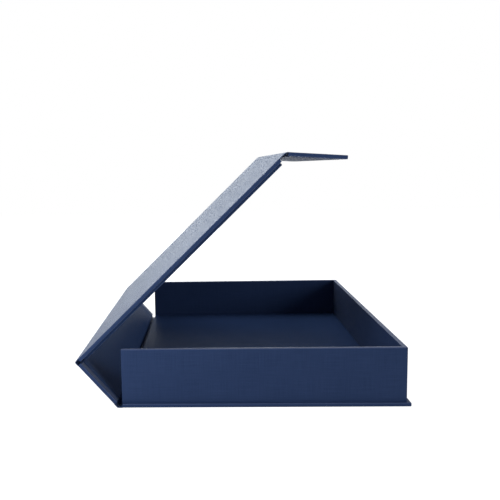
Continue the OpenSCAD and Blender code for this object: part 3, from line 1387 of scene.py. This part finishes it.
@dataclass
class BookBox:
    """The whole box: tray, case, linings, folds, boards and closure discs.

    Attributes:
        joints: The frame's joints.
        panel_turn_in: The width of cloth turned in behind the lid's panel.
        pieces: The pieces made so far.
    """

    joints: list[dict[str, Any]]
    panel_turn_in: float = 12.0
    pieces: list[bpy.types.Object] = field(default_factory=list)

    def build(self) -> None:
        """Builds every piece that shows and dresses the CAD nodes that stay."""
        cover, lining = NAVY.build(), NAVY_LINING.build()
        case = CaseFrame(self.joints)
        leaves = [
            CoveredLeaf("base_cloth", "base_cover", case.base, Body.TRAY, (False, True), seed=1.0),
            CoveredLeaf("spine_cloth", "spine_cover", case.spine, Body.SPINE, (False, False), seed=2.0),
            CoveredLeaf("lid_cloth", "lid_cover", case.lid, Body.LID, (False, False), seed=3.0),
            CoveredLeaf("flap_cloth", "flap_cover", case.flap, Body.FLAP, (False, True), seed=4.0),
        ]
        self.pieces += [leaf.build(cover) for leaf in leaves]
        panel = CoveredLeaf("lid_panel_wrap", "lid_panel_cloth", case.lid, Body.LID, (True, True),
                            Slot.LINING, self.panel_turn_in, flipped=True, seed=5.0)
        half = case.base.extent("base_cover")[1][1]
        linings = [
            panel,
            FaceLining("spine_face_cloth", "spine_lining", case.spine, Body.SPINE, False, half, seed=6.0),
            FaceLining("flap_face_cloth", "flap_lining", case.flap, Body.FLAP, True, half, seed=8.0),
        ]
        self.pieces += [piece.build(lining) for piece in linings]
        self.pieces += [TrayWalls().build(cover), TrayFloor().build(lining)]
        for fold in self._folds(case):
            self.pieces += fold.build(cover, lining)
        self._dress_boards()

    @staticmethod
    def _folds(case: CaseFrame) -> list[FoldCloth]:
        """The cloth across the case's three folds.

        Args:
            case: The case's folds and leaves.

        Returns:
            One FoldCloth for each fold.
        """
        (gap, _), (_, half), (_, thick) = case.base.extent("base_cover")
        lining_half = case.spine.extent("spine_lining")[1][1]
        lid_end = case.lid_back.extent("lid_cover")[0][0]
        flap_gap = case.flap.extent("flap_cover")[0][0]
        shared = {"case_half": half, "case_t": thick, "lining_half": lining_half}
        return [
            FoldCloth("base_fold", ("spine_hinge_cloth", "spine_hinge_lining"),
                      (case.base, case.spine), (Body.TRAY, Body.SPINE), (gap, gap), (True, False),
                      bends=(0.6, 0.6), reach=(0.6, 0.6), **shared),
            FoldCloth("spine_fold", ("lid_hinge_cloth", "lid_hinge_lining"),
                      (case.spine_back, case.lid), (Body.SPINE, Body.LID), (gap, gap), (False, True),
                      bends=(1.1, 1.1), reach=(0.18, 0.18), **shared),
            FoldCloth("flap_fold", ("flap_hinge_cloth", "flap_hinge_lining"),
                      (case.lid_back, case.flap), (Body.LID, Body.FLAP), (lid_end, flap_gap),
                      (True, False), bends=(4.4, 1.4), reach=(3.0, 1.2), **shared),
        ]

    @staticmethod
    def _dress_boards() -> None:
        """Gives the boards and discs that stay as CAD nodes their finishes."""
        board, striker, magnet = GREYBOARD.build(), STRIKER.build(), MAGNET.build()
        finishes = {"striker": striker, "magnet": magnet}
        for name, node in frame["nodes"].items():
            if not node.hide_render:
                node.data.materials.clear()
                node.data.materials.append(finishes.get(name.split("_")[-1], board))


@dataclass(frozen=True)
class PhotoView:
    """The photograph's camera.

    Attributes:
        place: Where it stands, in metres.
        turn_left: How far it turns left from looking straight across the box, in degrees.
        tilt_up: How far it tilts up.
        roll: How far it rolls.
        lens: Its focal length, in millimetres.
        sensor: Its sensor's width, in millimetres.
        shift: How far the lens is shifted sideways, as a share of the sensor.
        clip: The nearest and the farthest that it sees, in metres.
    """

    place: Place = (-0.03643, -0.66818, 0.18761)
    turn_left: float = 2.38
    tilt_up: float = -7.10
    roll: float = -1.09
    lens: float = 48.81
    sensor: float = 36.0
    shift: float = 0.1266
    clip: Span = (0.01, 50.0)

    def build(self) -> bpy.types.Object:
        """Makes the scene's camera.

        Returns:
            The camera.
        """
        data = bpy.data.cameras.new("photo_view")
        data.lens, data.sensor_width, data.shift_x = self.lens, self.sensor, self.shift
        data.clip_start, data.clip_end = self.clip
        made = bpy.data.objects.new("photo_view", data)
        bpy.context.scene.collection.objects.link(made)
        yaw = Matrix.Rotation(math.radians(self.turn_left), 3, "Z")
        pitch = Matrix.Rotation(math.radians(self.tilt_up), 3, "X")
        ahead = yaw @ pitch @ ACROSS
        right = yaw @ ALONG
        up = right.cross(ahead)
        roll = math.radians(self.roll)
        side = right * math.cos(roll) + up * math.sin(roll)
        top = up * math.cos(roll) - right * math.sin(roll)
        turned = Matrix((side, top, -ahead)).transposed().to_4x4()
        made.matrix_world = Matrix.Translation(self.place) @ turned
        bpy.context.scene.camera = made
        return made


@dataclass(frozen=True)
class Softbox:
    """A square soft light.

    Attributes:
        name: The light's name.
        place: Where it stands, in metres.
        aim: The point that it faces.
        size: The length of its side, in metres.
        power: Its power, in watts.
        colour: The colour of its light.
    """

    name: str
    place: Place
    aim: Place
    size: float
    power: float
    colour: Colour = WHITE

    def build(self) -> None:
        """Makes the light."""
        data = bpy.data.lights.new(self.name, "AREA")
        data.shape, data.size, data.energy = "SQUARE", self.size, self.power
        data.color = self.colour
        made = bpy.data.objects.new(self.name, data)
        made.location = self.place
        made.visible_camera = False
        made.rotation_mode = "QUATERNION"
        made.rotation_quaternion = (Vector(self.aim) - Vector(self.place)).to_track_quat("-Z", "Y")
        bpy.context.scene.collection.objects.link(made)


@dataclass(frozen=True)
class Studio:
    """A white table in white surroundings, under soft lights.

    Attributes:
        boxes: The lights.
        surround: How bright the surroundings are as a light.
        table: The length of the table's side, in metres.
        table_pale: How pale the table is to light that bounces off it.
        table_dim: How pale it is, beside its own glow, to the camera.
    """

    boxes: tuple[Softbox, ...]
    surround: float = 0.2
    table: float = 4.0
    table_pale: float = 0.8
    table_dim: float = 0.4

    def build(self) -> None:
        """Makes the table, the surroundings and the lights."""
        bpy.context.scene.view_settings.view_transform = "Standard"
        self._surroundings()
        self._table()
        for box in self.boxes:
            box.build()

    def _surroundings(self) -> None:
        """White where the camera or a reflection looks, and softer as a light."""
        world = bpy.data.worlds.new("surroundings")
        bpy.context.scene.world = world
        graph = Graph(world)
        level = self._seen(graph) * (1.0 - self.surround) + self.surround
        light = graph.node("ShaderNodeBackground", sockets={"Color": WHITE, "Strength": level})
        graph.finish(graph.wire(light), "ShaderNodeOutputWorld")

    def _table(self) -> None:
        """A pale table top that shows white to the camera and keeps the box's shadow."""
        graph = Graph(bpy.data.materials.new("table_top"))
        plain = graph.node("ShaderNodeBsdfDiffuse", sockets={"Color": (self.table_pale,) * 3})
        dim = graph.node("ShaderNodeBsdfDiffuse", sockets={"Color": (self.table_dim,) * 3})
        glow = graph.node("ShaderNodeEmission", sockets={
            "Color": WHITE, "Strength": 1.0 - self.table_dim * self.surround})
        bright = graph.node("ShaderNodeAddShader", sockets={0: graph.wire(dim), 1: graph.wire(glow)})
        mixed = graph.node("ShaderNodeMixShader", sockets={
            0: self._seen(graph), 1: graph.wire(plain), 2: graph.wire(bright)})
        mesh = bpy.data.meshes.new("table_top")
        half = self.table / 2
        corners = [(-half, -half, 0.0), (half, -half, 0.0), (half, half, 0.0), (-half, half, 0.0)]
        mesh.from_pydata(corners, [], [(0, 1, 2, 3)])
        mesh.materials.append(graph.finish(graph.wire(mixed)))
        table = bpy.data.objects.new("table_top", mesh)
        bpy.context.scene.collection.objects.link(table)

    @staticmethod
    def _seen(graph: Graph) -> Wire:
        """Tells the rays that should see white from those that only carry light.

        Args:
            graph: The tree to add to.

        Returns:
            1 for camera, glossy and transmitted rays, and 0 for the rest.
        """
        path = graph.node("ShaderNodeLightPath")
        rays = [graph.wire(path, n) for n in ("Is Camera Ray", "Is Glossy Ray", "Is Transmission Ray")]
        return graph.math("MINIMUM", rays[0] + rays[1] + rays[2], 1.0)

STUDIO = Studio((
    Softbox("key_light", (-0.40, -0.42, 0.25), (-0.05, -0.10, 0.03), 0.30, 1.9),
    Softbox("top_light", (-0.15, 0.55, 1.00), (0.0, 0.0, 0.05), 0.9, 6.0),
    Softbox("side_light", (1.20, -0.80, 0.50), (0.0, 0.0, 0.05), 0.6, 8.0),
    Softbox("backdrop_light", (-0.25, 1.20, 0.40), (0.0, 0.0, 0.10), 0.9, 4.2, (0.80, 0.90, 1.0)),
))


def main() -> None:
    """Builds the box, its table and its light."""
    logging.basicConfig(level=logging.INFO, format="%(name)s: %(message)s")
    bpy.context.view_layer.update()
    BookBox(frame["joints"]).build()
    STUDIO.build()
    PhotoView().build()


if __name__ == "__main__":
    main()
